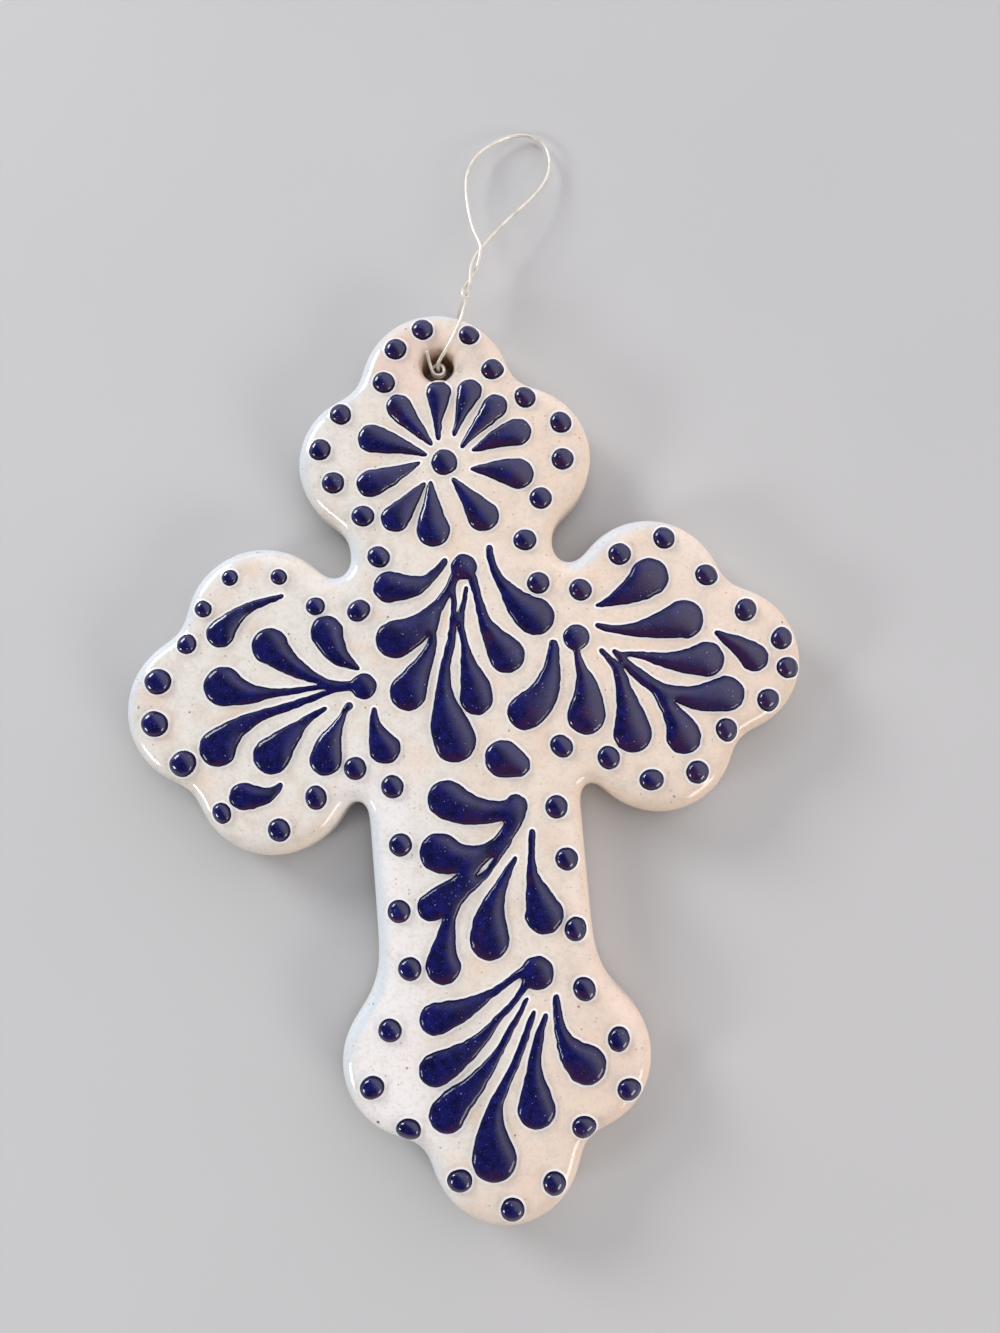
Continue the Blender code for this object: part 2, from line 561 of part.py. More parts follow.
def twist_strand(sign):
    """One strand of the twist, a full turn from one crossing to the next but one."""
    strand = []
    for step in range(TWIST_POINTS + 1):
        share = (step / TWIST_POINTS) ** TWIST_EASE
        turn = math.pi / 2 + math.tau * step / TWIST_POINTS
        along = TWIST_START + (TWIST_END - TWIST_START) * share
        height = TWIST_HEIGHT - EYE_DROP * TWIST_DROP_SHARE * share
        across = sign * STRAND_OFFSET * math.cos(turn)
        strand.append(Vector((along, across, height + sign * STRAND_OFFSET * math.sin(turn))))
    return strand


def wire_line():
    """The wire's centreline, in the hanger's own axes: along it, to its right, and up."""
    over = THICKNESS + DOT_RISE + WIRE_CLEARANCE + WIRE_RADIUS
    under = -WIRE_CLEARANCE - WIRE_RADIUS
    edge = HOLE_DROP + 1.9 * MM

    upper, lower = twist_strand(1), twist_strand(-1)

    core = [Vector((0, 0, MM)), Vector((0, 0, THICKNESS * 0.45)), Vector((0, 0, THICKNESS - 0.9 * MM))]
    front = [
        Vector((0.25 * MM, 0.1 * MM, THICKNESS + 0.2 * MM)),
        Vector((1.2 * MM, 0.5 * MM, over - 0.6 * MM)),
        Vector((3.4 * MM, 1.2 * MM, over)),
        Vector((edge - 4.4 * MM, 1.8 * MM, over + 0.1 * MM)),
        Vector((edge - 1.2 * MM, 1.7 * MM, over)),
        Vector((edge + 0.7 * MM, 1.2 * MM, over - 1.6 * MM)),
        Vector((TWIST_START - 1.0 * MM, 0.6 * MM, over - 3.8 * MM)),
    ]
    eye = []
    for along, across in EYE_POINTS:
        share = (along * MM - TWIST_END) / (EYE_POINTS[6][0] * MM - TWIST_END)
        fall = TWIST_DROP_SHARE + (1 - TWIST_DROP_SHARE) * share
        eye.append(Vector((along * MM, across * MM, TWIST_HEIGHT - EYE_DROP * fall)))
    back = [
        Vector((TWIST_START - 0.8 * MM, -0.5 * MM, TWIST_HEIGHT - 2.4 * MM)),
        Vector((edge + 0.9 * MM, -0.6 * MM, 0.6 * MM)),
        Vector((edge - 0.4 * MM, -0.5 * MM, under + 0.1 * MM)),
        Vector((edge - 2.4 * MM, -0.4 * MM, under)),
        Vector((3.4 * MM, 0, under)),
        Vector((1.9 * MM, 0, under + 0.1 * MM)),
        Vector((COIL_RADIUS + 0.1 * MM, 0, 0.5 * MM)),
        Vector((COIL_RADIUS, 0, 2.2 * MM)),
    ]
    coil = []
    coil_base = THICKNESS - 1.7 * MM - COIL_PITCH * COIL_TURNS
    for step in range(int(COIL_TURNS * COIL_POINTS) + 1):
        turn = math.tau * step / COIL_POINTS
        height = coil_base + COIL_PITCH * step / COIL_POINTS
        coil.append(Vector((COIL_RADIUS * math.cos(turn), COIL_RADIUS * math.sin(turn), height)))
    tail = [
        Vector((0.15 * MM, -1.45 * MM, THICKNESS - 1.25 * MM)),
        Vector((0.75 * MM, -1.85 * MM, THICKNESS - 0.3 * MM)),
        Vector((1.44 * MM, -2.31 * MM, THICKNESS + 0.9 * MM)),
    ]
    bent_over = catmull_rom([core[-1], *front, upper[0]], 2)
    closed_eye = catmull_rom([upper[-1], *eye, lower[-1]], 2)
    bent_under = catmull_rom([lower[0], *back], 2)
    return [
        *core[:-1], *bent_over[:-1], *upper[:-1], *closed_eye[:-1],
        *reversed(lower[1:]), *bent_under, *coil, *tail,
    ]


def least_gap(line):
    """The least gap between stretches of the wire that are more than three diameters apart along it."""
    spots, walked = [], []
    run = 0.0
    for start, end in zip(line, line[1:]):
        for step in range(6):
            spots.append(start.lerp(end, step / 6))
            walked.append(run + (end - start).length * step / 6)
        run += (end - start).length
    gaps = [
        (spots[i] - spots[j]).length
        for i in range(len(spots))
        for j in range(i)
        if walked[i] - walked[j] > 6 * WIRE_RADIUS
    ]
    return min(gaps) - 2 * WIRE_RADIUS


def make_hanger(steel):
    line = wire_line()
    gap = least_gap(line)
    print(f"least gap of the wire to itself {gap / MM:.2f} mm, at least {LEAST_WIRE_GAP / MM:.2f} wanted")
    ahead = Vector((math.sin(HANGER_LEAN), math.cos(HANGER_LEAN)))
    right = Vector((ahead.y, -ahead.x))
    data = bpy.data.curves.new("hanger_wire", "CURVE")
    data.dimensions = "3D"
    data.bevel_depth = WIRE_RADIUS
    data.bevel_resolution = 1
    data.use_fill_caps = True
    spline = data.splines.new("POLY")
    spline.points.add(len(line) - 1)
    for spot, place in zip(spline.points, line):
        flat = ahead * place.x + right * place.y
        spot.co = (flat.x, flat.y, place.z, 1.0)
    data.materials.append(steel)
    hanger = bpy.data.objects.new("hanger_wire", data)
    hanger.location = (*hole_centre(), 0.0)
    bpy.context.scene.collection.objects.link(hanger)


def main():
    for thing in list(bpy.data.objects):
        bpy.data.objects.remove(thing)
    glaze = make_material("white_glaze", (0.82, 0.76, 0.70), 0.15)
    enamel = make_material("cobalt_enamel", (0.02, 0.018, 0.11), 0.12)
    steel = make_material("hanger_steel", (0.72, 0.70, 0.66), 0.3, 1.0)
    make_slab(glaze, enamel)
    for fan in FANS:
        make_fan(fan, enamel)
    make_stroke("loose_drop", LOOSE_DROP, enamel)
    make_hanger(steel)


main()
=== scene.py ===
"""The looks of the hanging cross.

White tin glaze with a slight waviness, domed cobalt strokes and dots, and a hanger of twisted wire.
"""

import json
import math

import bpy
import numpy as np
from mathutils import Matrix, Vector, geometry, kdtree, noise


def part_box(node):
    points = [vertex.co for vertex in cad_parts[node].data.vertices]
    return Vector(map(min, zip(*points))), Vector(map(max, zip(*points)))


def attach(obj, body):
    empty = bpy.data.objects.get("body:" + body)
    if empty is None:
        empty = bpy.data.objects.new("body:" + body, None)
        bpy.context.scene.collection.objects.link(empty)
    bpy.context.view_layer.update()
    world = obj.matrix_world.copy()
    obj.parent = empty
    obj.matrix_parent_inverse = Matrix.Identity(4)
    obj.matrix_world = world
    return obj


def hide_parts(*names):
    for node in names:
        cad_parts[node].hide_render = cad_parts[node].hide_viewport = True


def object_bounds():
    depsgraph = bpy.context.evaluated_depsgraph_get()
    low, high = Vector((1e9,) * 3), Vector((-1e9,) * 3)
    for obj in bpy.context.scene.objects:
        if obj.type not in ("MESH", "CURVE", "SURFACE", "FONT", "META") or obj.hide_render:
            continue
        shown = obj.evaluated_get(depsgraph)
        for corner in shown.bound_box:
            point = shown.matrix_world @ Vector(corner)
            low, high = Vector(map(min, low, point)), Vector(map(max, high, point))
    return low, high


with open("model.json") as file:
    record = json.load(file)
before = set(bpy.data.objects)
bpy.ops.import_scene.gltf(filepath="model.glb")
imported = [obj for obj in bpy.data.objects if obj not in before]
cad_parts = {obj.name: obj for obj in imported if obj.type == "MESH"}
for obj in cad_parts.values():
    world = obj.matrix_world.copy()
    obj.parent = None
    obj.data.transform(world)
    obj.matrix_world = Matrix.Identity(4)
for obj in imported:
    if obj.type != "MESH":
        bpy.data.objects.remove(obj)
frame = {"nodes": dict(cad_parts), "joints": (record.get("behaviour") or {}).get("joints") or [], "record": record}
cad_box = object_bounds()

MM = 0.001

# The photograph's view
IMAGE_LONG_SIDE = 1333
FOCAL_PIXELS = 980
SENSOR_WIDTH = 36
CAMERA_PLACE = Vector((4.8, -15.0, 174.5)) * MM
CAMERA_PITCH = math.radians(6)
CAMERA_ROLL = math.radians(5)
CAMERA_NEAREST = 5 * MM

# Ceramic, in mm
FACE_LEVEL = 9.0
WALL_RING_LEVEL = 1.0
SAME_LEVEL = 0.01
WALL_LEVELS = (2.2, 3.4, 4.6)
OUTLINE_SPACING = 0.6
OUTLINE_SOFTNESS = 0.7
EDGE_WIDTH = 3.8
EDGE_DROP = 3.4
EDGE_POWER = 2.3
EDGE_STEPS = 10
EDGE_CROWDING = 1.6
FACE_SPACING = 0.9
BACK_SPACING = 2.7
GRID_MARGIN = 0.6
BACK_ROUND = 1.1
BACK_ROUND_TURNS = np.radians((0, 22, 45, 68, 90))
SWELL = 0.07
SWELL_SPAN = 17.0
SWELL_SLICE = 3.7

# The hole: radius and depth below the face, then radius and height of its wall, in mm
HOLE_DISH = (
    (2.85, 1.15), (2.9, 0.85), (3.1, 0.55), (3.5, 0.3), (4.1, 0.13), (4.9, 0.03), (5.6, 0.0),
)
HOLE_WALL = ((3.3, 0.0), (2.95, 0.5), (2.85, 1.4), (2.85, 4.6))
HOLE_POINTS = 48
HOLE_REACH_RADII = (2.9, 5.1)

# Smoothing of outlines
CURVE_STEPS = 8
SHARP_TURN = math.radians(50)
SHORT_EDGE = 0.2
LEAST_POINTS = 12
DENSER = 4
BROADER = 2.2

# Enamel, in mm
STROKE_SPACING = 0.16
STROKE_SOFTNESS = 0.14
DROP_SOFTENING = 2.2
LEAST_GAP = 0.25
GAP_SEEDS = 50
RAGGED = 0.04
RAGGED_SPAN = 0.35
DOME_POWER = 0.42
DOME_GRID = 0.42
DOME_ROOT = 0.03
DOT_LEVEL = 0.1
DOT_POINTS = 72
DOT_SPREAD = 1.03
DOT_OVAL = 0.07
DOT_SPACING = 0.2
DOT_SOFTNESS = 0.05
DOT_SEEDS = 100
GLOSSY = ("left_fan_stroke_01", "left_fan_stroke_07", "loose_drop", "right_fan_hub")

# Points inside a stroke's edge, in steps along that edge: a ring of them, then the grid
RING_INSET = 1.3
RING_MARGIN = 1.2
DOME_MARGIN = 2.4

# The clean rim round the enamel: offset from its edge, height over the glaze, whiteness
RIM_WIDTH = 0.42
RIM_RINGS = ((-0.04, 0.05, 1.0), (0.4 * RIM_WIDTH, 0.033, 0.9), (RIM_WIDTH, 0.006, 0.0))

# The membrane that gives a dome its section
ON_EDGE = 1e-4
LEAST_AREA = 1e-9
MOST_PULL = 50
LEAST_WORK = 1e-30
SETTLED = 1e-10
MOST_ROUNDS = 400

# Wire: in mm where the first end is looked for, then the tube's fineness
WIRE_END_REACH = 0.4
WIRE_END_LEVEL = 0.05
WIRE_SLIMMING = 0.96
WIRE_SIDES = 3
WIRE_STEPS = 4
WIRE_ORDER = 4

# Colours of the glaze and the clay, and of the light, shade and reflection painted on the glaze
IVORY = (0.80, 0.765, 0.69)
CREAM = (0.85, 0.71, 0.58)
PEACH = (0.82, 0.62, 0.48)
BLOTCH = (0.81, 0.62, 0.48)
ASH = (0.68, 0.60, 0.52)
# Painted shade: warm and darker, for edges that face down and right
PAINTED_WARM_SHADE = (0.80, 0.62, 0.46)
# Painted light: a paler white for the left side of the shaft and foot
PAINTED_LIGHT_WHITE = (0.90, 0.87, 0.85)
# Painted reflection: the cool blue of the sky, for edges that face up and left
PAINTED_SKY_REFLECTION = (0.64, 0.69, 0.73)
STAIN = (0.80, 0.60, 0.50)
STAIN_PLACE = (-3.5, 57.5)
GRAIN = (0.62, 0.50, 0.41)
SMALL_SPECK = (0.42, 0.33, 0.26)
BROWN_SPECK = (0.33, 0.26, 0.20)
LARGE_SPECK = (0.19, 0.15, 0.12)
CLEAN_RIM = (0.96, 0.95, 0.94)
HOLE_BROWNING = (0.62, 0.47, 0.36)
DARK_CLAY = (0.40, 0.27, 0.19)
PALE_CLAY = (0.58, 0.43, 0.32)

# Colours of the enamel, and of the shade and reflection painted on it
BLACK_NAVY = (0.002, 0.0018, 0.024)
COBALT = (0.009, 0.009, 0.118)
PLUM = (0.046, 0.012, 0.044)
# Painted reflection: the slate grey of a bright room, for flanks that face right
PAINTED_SLATE_REFLECTION = (0.022, 0.018, 0.066)
# Painted shade: near black, for the steep edge that mirrors the dark room
PAINTED_EDGE_SHADE = (0.007, 0.005, 0.013)
BLUE_SPECK = (0.07, 0.08, 0.30)
PALE_SPECK = (0.30, 0.31, 0.50)

# Colours of the wire
BRIGHT_WIRE = (0.80, 0.75, 0.66)
DULL_WIRE = (0.62, 0.56, 0.47)

# Floor, room and lamps, in metres
FLOOR_HALF = 2.5
FLOOR_SHADES = ((0.52, 0.515, 0.505), (0.55, 0.545, 0.535))
DIM_ROOM = (0.06, 0.065, 0.09)
BRIGHT_ROOM = (1.26, 1.22, 1.30)
PALE_WALL = (0.62, 0.62, 0.63)
DAYLIGHT = (0.95, 0.98, 1.0)
SKYLIGHT = (0.88, 0.95, 1.0)
LAMPLIGHT = (1.0, 0.94, 0.84)
WHITE = (1, 1, 1)

# Each softbox: place, width, height, watts, colour, and whether the gloss mirrors it
SOFTBOXES = {
    "window": ((-1.32, 1.26, 0.84), 0.74, 0.56, 22.0, DAYLIGHT, True),
    "sky": ((-1.24, 1.60, 0.60), 2.2, 0.48, 5.6, SKYLIGHT, True),
    "overhead": ((0.0, 0.1, 1.8), 1.6, 1.6, 2.8, WHITE, False),
    "doorway": ((-1.48, -0.60, 0.72), 0.44, 0.32, 9.0, DAYLIGHT, True),
    "lamp": ((1.00, -1.10, 0.72), 0.68, 0.48, 7.5, LAMPLIGHT, True),
}


class Shade:
    """A socket of a material, on which sums are written as in ordinary arithmetic."""

    def __init__(self, tree, socket=None):
        self.tree = tree
        self.socket = socket

    def node(self, kind, settings=None, inputs=None, output=0):
        """Adds a node: first its settings, then its sockets' values or links."""
        made = self.tree.nodes.new(kind)
        for name, value in (settings or {}).items():
            setattr(made, name, value)
        for name, value in (inputs or {}).items():
            self.feed(made.inputs[name], value)
        return Shade(self.tree, made.outputs[output])

    def feed(self, socket, value):
        """Links a shade to a socket, or sets the socket to a number or a colour."""
        if isinstance(value, Shade):
            self.tree.links.new(value.socket, socket)
        elif isinstance(value, tuple) and socket.type == "RGBA":
            socket.default_value = (*value, 1.0)
        else:
            socket.default_value = value

    def maths(self, operation, *values):
        return self.node("ShaderNodeMath", {"operation": operation}, dict(enumerate(values)))

    def __add__(self, other):
        return self.maths("ADD", self, other)

    def __sub__(self, other):
        return self.maths("SUBTRACT", self, other)

    def __rsub__(self, other):
        return self.maths("SUBTRACT", other, self)

    def __mul__(self, other):
        return self.maths("MULTIPLY", self, other)

    __radd__ = __add__
    __rmul__ = __mul__

    def step(self, low, high):
        """A smooth step from 0 at low to 1 at high."""
        settings = {"interpolation_type": "SMOOTHSTEP"}
        inputs = {"Value": self, "From Min": low, "From Max": high}
        return self.node("ShaderNodeMapRange", settings, inputs)

    def mix(self, first, second):
        """From the first colour to the second as this mask goes from 0 to 1."""
        colours = {6: first, 7: second}
        return self.node("ShaderNodeMix", {"data_type": "RGBA"}, {0: self, **colours}, output=2)

    def noise(self, size, detail=3.0, rough=0.55):
        """Noise over these coordinates, with features of the given size."""
        inputs = {"Vector": self, "Scale": 1 / size, "Detail": detail, "Roughness": rough}
        return self.node("ShaderNodeTexNoise", None, inputs)

    def parts(self):
        """The x, y and z of a vector."""
        return [self.node("ShaderNodeSeparateXYZ", None, {0: self}, output=i) for i in range(3)]

    def specks(self, cell, share, radius):
        """A mask of dots, at most one a cell and only in the given share of the cells."""
        settings = {"feature": "F1"}
        inputs = {"Vector": self, "Scale": 1 / cell}
        near = self.node("ShaderNodeTexVoronoi", settings, inputs)
        chance = self.node("ShaderNodeTexVoronoi", settings, inputs, output="Color")
        chosen = chance.node("ShaderNodeSeparateColor", None, {0: chance})
        wide = chosen.step(1 - share, 1.0) * (radius / cell)
        return (wide - near).step(0.0, 0.25 * radius / cell)


def new_material(name):
    """A material, its coordinates in mm, and its surface."""
    material = bpy.data.materials.new(name)
    material.use_nodes = True
    tree = material.node_tree
    start = Shade(tree)
    metres = start.node("ShaderNodeTexCoord", output="Object")
    scaling = {0: metres, "Scale": 1 / MM}
    place = start.node("ShaderNodeVectorMath", {"operation": "SCALE"}, scaling)
    return material, place, tree.nodes["Principled BSDF"]


def dress(surface, place, **sockets):
    """Feeds the surface's sockets, named in lower case."""
    for name, value in sockets.items():
        place.feed(surface.inputs[name.replace("_", " ").title()], value)


def facing(place):
    """How far the surface faces to the right and up the cross."""
    return place.node("ShaderNodeNewGeometry", output="Normal").parts()[:2]


def bump(place, height, distance, strength):
    inputs = {"Height": height, "Distance": distance * MM, "Strength": strength}
    return place.node("ShaderNodeBump", None, inputs)


def attribute(place, name):
    return place.node("ShaderNodeAttribute", {"attribute_name": name}, output="Fac")


def white_glaze():
    """Opaque tin glaze over buff clay: warm white and specked; a painted sky reflection cools it where it faces up
    and left, painted shade warms it where it faces down and right, and painted light makes it paler on the lower
    left.
    """
    material, place, surface = new_material("white_glaze")
    x, y, z = place.parts()
    right, up = facing(place)
    drift = place.noise(30.0, 2.0)
    warmth = (x * 0.022 + y * 0.003 + drift * 0.8).step(0.05, 0.95)
    colour = warmth.mix(IVORY, CREAM)
    peach = (x * 0.03 - y * 0.02 - 1.1).step(0.0, 0.8) * 0.6
    colour = peach.mix(colour, PEACH)
    blotch = (place.noise(7.0, 3.0, 0.55) + x * 0.0012).step(0.44, 0.68) * 0.6
    colour = blotch.mix(colour, BLOTCH)
    ashen = place.noise(2.6, 5.0, 0.65).step(0.46, 0.68) * 0.6
    colour = ashen.mix(colour, ASH)
    # Painted shade: edges that face down and right turn a warmer, darker tone
    painted_warm_shade = (right - up).step(0.2, 0.95) * 0.55
    colour = painted_warm_shade.mix(colour, PAINTED_WARM_SHADE)
    # Painted light: the left side of the shaft and foot turns a paler white, standing in for lamp light that falls
    # short there
    painted_light_lower_left = (-0.2 - x * 0.06 + drift * 0.4).step(0.3, 0.9) * (y * -0.05).step(0.2, 1.0)
    painted_light_lower_left = painted_light_lower_left * (x * 0.15 + 4).step(0.0, 1.0)
    colour = (painted_light_lower_left * 0.8).mix(colour, PAINTED_LIGHT_WHITE)
    # Painted reflection: edges that face up and left take a cool blue, as if mirroring the sky
    painted_sky_reflection = (up - right).step(0.1, 0.75) * 0.9
    colour = painted_sky_reflection.mix(colour, PAINTED_SKY_REFLECTION)
    beside, above = x - STAIN_PLACE[0], y - STAIN_PLACE[1]
    from_stain = (beside * beside + above * above) * 0.016
    stain = (1.3 - from_stain + drift * 0.4).step(0.2, 1.3) * 0.75
    colour = stain.mix(colour, STAIN)
    grain = place.noise(0.7, 4.0, 0.75).step(0.45, 0.7) * 0.42
    colour = grain.mix(colour, GRAIN)
    colour = (place.specks(1.0, 0.55, 0.2) * 0.65).mix(colour, SMALL_SPECK)
    colour = (place.specks(2.4, 0.5, 0.28) * 0.85).mix(colour, BROWN_SPECK)
    colour = place.specks(6.5, 0.45, 0.34).mix(colour, LARGE_SPECK)
    colour = attribute(place, "rim").mix(colour, CLEAN_RIM)

    hole = attribute(place, "hole")
    # Browner in the bore and in the dish round it
    colour = (hole.step(0.3, 0.95) * 0.5).mix(colour, HOLE_BROWNING)
    clay_noise = place.noise(1.6, 5.0)
    bare = (hole * 1.1 + clay_noise * 0.5 - 0.3).step(0.75, 1.0)
    bare = bare.maths("MAXIMUM", bare, (1.5 - z + clay_noise * 1.2).step(0.9, 1.4))
    colour = bare.mix(colour, clay_noise.mix(DARK_CLAY, PALE_CLAY))

    height = place.noise(2.4, 2.0) * 0.35 + clay_noise * bare
    relief = bump(place, height, 0.12, 0.5)
    dress(surface, place, base_color=colour, roughness=0.13 + bare * 0.6, normal=relief)
    surface.inputs["IOR"].default_value = 1.52
    return material


def cobalt_enamel():
    """Thick cobalt enamel: mottled navy with clouds of plum and specks; painted shade makes its edge nearly black
    and a painted slate reflection greys it where it faces right.
    """
    material, place, surface = new_material("cobalt_enamel")
    right, up = facing(place)
    x = place.parts()[0]
    depth = attribute(place, "depth")
    edge = 1 - depth.step(0.03, 0.36)
    mottle = place.noise(1.3, 4.0, 0.65)
    grain = place.noise(0.24, 2.0)
    colour = (mottle * 0.6 + grain * 0.4).step(0.36, 0.64).mix(BLACK_NAVY, COBALT)
    cloud = place.noise(6.0, 3.0, 0.6)
    plum = (cloud * 2.4 - up * 1.5 + x * 0.011 - 1.15).step(0.15, 0.75) * 0.7
    colour = plum.mix(colour, PLUM)
    # Painted reflection: flanks that face right, and the right arm, turn slate as if mirroring a bright room
    painted_slate_reflection = (right * 2.0 + x * 0.012 + mottle * 0.4).step(0.1, 1.1) * 0.75
    colour = painted_slate_reflection.mix(colour, PAINTED_SLATE_REFLECTION)
    # Painted shade: the steep edge goes near black, standing in for the dark room it mirrors
    colour = edge.mix(colour, PAINTED_EDGE_SHADE)
    deep = depth.step(0.2, 0.6)
    colour = (place.specks(0.3, 0.6, 0.1) * deep * 0.55).mix(colour, BLUE_SPECK)
    colour = (place.specks(0.6, 0.35, 0.12) * deep * 0.8).mix(colour, PALE_SPECK)

    matt = 1 - attribute(place, "sheen")
    height = (grain * 0.4 + mottle) * (0.5 + matt * 0.5)
    polish = depth.step(0.1, 0.42) * (1 - matt * (1 - depth.step(0.4, 1.2)) * 0.6)
    dress(
        surface, place, base_color=colour, roughness=0.35 + edge * 0.3, coat_weight=polish,
        normal=bump(place, height, 0.05, 0.4),
    )
    surface.inputs["Specular IOR Level"].default_value = 0.05
    surface.inputs["Coat Roughness"].default_value = 0.07
    surface.inputs["Coat IOR"].default_value = 1.55
    return material


def hanger_steel():
    """Soft galvanised wire, dulled in patches."""
    material, place, surface = new_material("hanger_steel")
    tarnish = place.noise(2.6, 2.0).step(0.4, 0.75)
    colour = tarnish.mix(BRIGHT_WIRE, DULL_WIRE)
    dress(surface, place, base_color=colour, roughness=0.3 + tarnish * 0.15)
    surface.inputs["Metallic"].default_value = 0.45
    return material


def welded(node):
    """A CAD node's points in mm, with those at one place merged, and its triangles."""
    mesh = frame["nodes"][node].data
    mesh.calc_loop_triangles()
    points = np.empty(len(mesh.vertices) * 3)
    mesh.vertices.foreach_get("co", points)
    triangles = np.empty(len(mesh.loop_triangles) * 3, int)
    mesh.loop_triangles.foreach_get("vertices", triangles)
    rounded = np.round(points.reshape(-1, 3) / MM, 3)
    points, index = np.unique(rounded, axis=0, return_inverse=True)
    triangles = index.reshape(-1)[triangles].reshape(-1, 3)
    distinct = (np.diff(np.sort(triangles, axis=1), axis=1) > 0).all(axis=1)
    return points, triangles[distinct]


def edges_of(triangles):
    return np.concatenate([triangles[:, [0, 1]], triangles[:, [1, 2]], triangles[:, [2, 0]]])


def rim_edges(triangles):
    """The edges that only one of these triangles has."""
    edges = edges_of(triangles)
    _, place, count = np.unique(
        np.sort(edges, axis=1), axis=0, return_inverse=True, return_counts=True
    )
    return edges[count[place.reshape(-1)] == 1]


def walk_loops(edges):
    """The closed loops of point numbers that these edges make."""
    after = {}
    for start, end in edges:
        after.setdefault(start, []).append(end)
    loops = []
    while after:
        start = next(iter(after))
        loop = [start]
        while loop[-1] in after:
            ends = after[loop[-1]]
            loop.append(ends.pop())
            if not ends:
                del after[loop[-2]]
        loops.append(loop[:-1])
    return loops


def neighbours(edges):
    """For each point the set of points it shares an edge with."""
    beside = {}
    for start, end in edges:
        beside.setdefault(start, set()).add(end)
        beside.setdefault(end, set()).add(start)
    return beside


def walk_ring(edges):
    """The points of a single closed ring of edges, in order."""
    beside = neighbours(edges)
    walked = [min(beside)]
    walked.append(min(beside[walked[0]]))
    while walked[-1] != walked[0]:
        walked += beside[walked[-1]] - {walked[-2]}
    return walked[:-1]


def unit_circle(count):
    return np.exp(1j * math.tau * np.arange(count) / count)


def enclosed(loop):
    """The area within a loop, negative where it runs clockwise."""
    return np.sum((loop.conj() * np.roll(loop, -1)).imag) / 2


def way(loop):
    """1 for a loop that runs anticlockwise, else -1."""
    return 1 if enclosed(loop) > 0 else -1


def curved(loop):
    """Many points on a closed curve through a loop's points, with its sharp right turns kept."""
    kept = [loop[0]]
    for spot in loop[1:]:
        if min(abs(spot - kept[-1]), abs(spot - loop[0])) > SHORT_EDGE:
            kept.append(spot)
    loop = np.array(kept)
    ahead = np.roll(loop, -1) - loop
    behind = np.roll(ahead, 1)
    heading = (ahead + behind) / np.abs(ahead + behind)
    sharp = np.angle(ahead / behind) < -SHARP_TURN
    length = np.abs(ahead)
    leave = np.where(sharp, ahead / length, heading) * length
    arrive = np.roll(np.where(sharp, behind / np.abs(behind), heading), -1) * length
    t = np.arange(CURVE_STEPS)[:, None] / CURVE_STEPS
    curve = (2 * t**3 - 3 * t**2 + 1) * loop + (t**3 - 2 * t**2 + t) * leave
    curve = curve + (3 * t**2 - 2 * t**3) * np.roll(loop, -1) + (t**3 - t**2) * arrive
    return curve.T.reshape(-1)


def blurred(values, step, span):
    """Values along a loop, one a step, each blended with those within about the span."""
    waves = np.fft.fftfreq(len(values), step) * math.tau
    return np.fft.ifft(np.fft.fft(values) * np.exp(-((waves * span) ** 2) / 2))


def soft_loop(loop, spacing, softness):
    """A closed loop at even spacing, smoothed over a length, and further where it moves little."""
    closed = curved(loop)
    closed = np.append(closed, closed[0])
    walked = np.append(0, np.cumsum(np.abs(np.diff(closed))))
    count = DENSER * max(LEAST_POINTS, int(walked[-1] / spacing))
    even = np.arange(count) * walked[-1] / count
    dense = np.interp(even, walked, closed.real) + 1j * np.interp(even, walked, closed.imag)
    step = walked[-1] / count
    fine, broad = blurred(dense, step, softness), blurred(dense, step, BROADER * softness)
    trust = blurred(np.clip(2 - np.abs(broad - fine) / softness, 0, 1), step, softness).real
    return (fine + trust * (broad - fine))[::DENSER]


def loop_normals(loop):
    """Outward normals of an anticlockwise loop."""
    ahead = np.roll(loop, -1) - np.roll(loop, 1)
    return -1j * ahead / np.abs(ahead)


def ragged(loop, seed, depth=RAGGED):
    """A loop whose edge wavers as a brushed edge does."""
    noise_along = np.random.default_rng(seed).normal(size=len(loop))
    shake = blurred(noise_along, abs(loop[1] - loop[0]), RAGGED_SPAN).real
    return loop + loop_normals(loop) * depth * shake / shake.std()


def tree_of(loop):
    """The points of a loop, sorted for finding the nearest."""
    tree = kdtree.KDTree(len(loop))
    for index, spot in enumerate(loop):
        tree.insert((spot.real, spot.imag, 0), index)
    tree.balance()
    return tree


def distance(tree, spot):
    return tree.find((spot.real, spot.imag, 0))[2]


def hex_grid(loop, spacing):
    """A triangular grid of points over a loop's box."""
    rows = np.arange(loop.imag.min(), loop.imag.max(), spacing * math.sqrt(0.75))
    columns = np.arange(loop.real.min(), loop.real.max(), spacing)
    return np.array(
        [x + (row % 2) * spacing / 2 + 1j * y for row, y in enumerate(rows) for x in columns]
    )


def inside(loop, spots):
    """Which of the spots lie inside a loop."""
    start, end = loop[:, None], np.roll(loop, -1)[:, None]
    rise = end.imag - start.imag
    crossing = (start.imag > spots.imag) != (end.imag > spots.imag)
    share = (spots.imag - start.imag) / np.where(rise == 0, 1, rise)
    meet = start.real + share * (end.real - start.real)
    return (crossing & (spots.real < meet)).sum(axis=0) % 2 == 1


def within(loops, spots):
    """Which of the spots lie inside the first loop and outside the others."""
    kept = inside(loops[0], spots)
    for hollow in loops[1:]:
        kept &= ~inside(hollow, spots)
    return kept


def fill(loops, inner):
    """Triangles that fill the loops, through the inner points: points and triangles."""
    spots = np.concatenate([*loops, np.array(inner, complex)])
    edges, first = [], 0
    for loop in loops:
        edges += [(first + i, first + (i + 1) % len(loop)) for i in range(len(loop))]
        first += len(loop)
    flat = [Vector((spot.real, spot.imag)) for spot in spots]
    points, _, faces, *_ = geometry.delaunay_2d_cdt(flat, edges, [], 0, 1e-6, False)
    spots = np.array([complex(*point) for point in points])
    triangles = np.array(faces)
    return spots, triangles[within(loops, spots[triangles].mean(axis=1))]


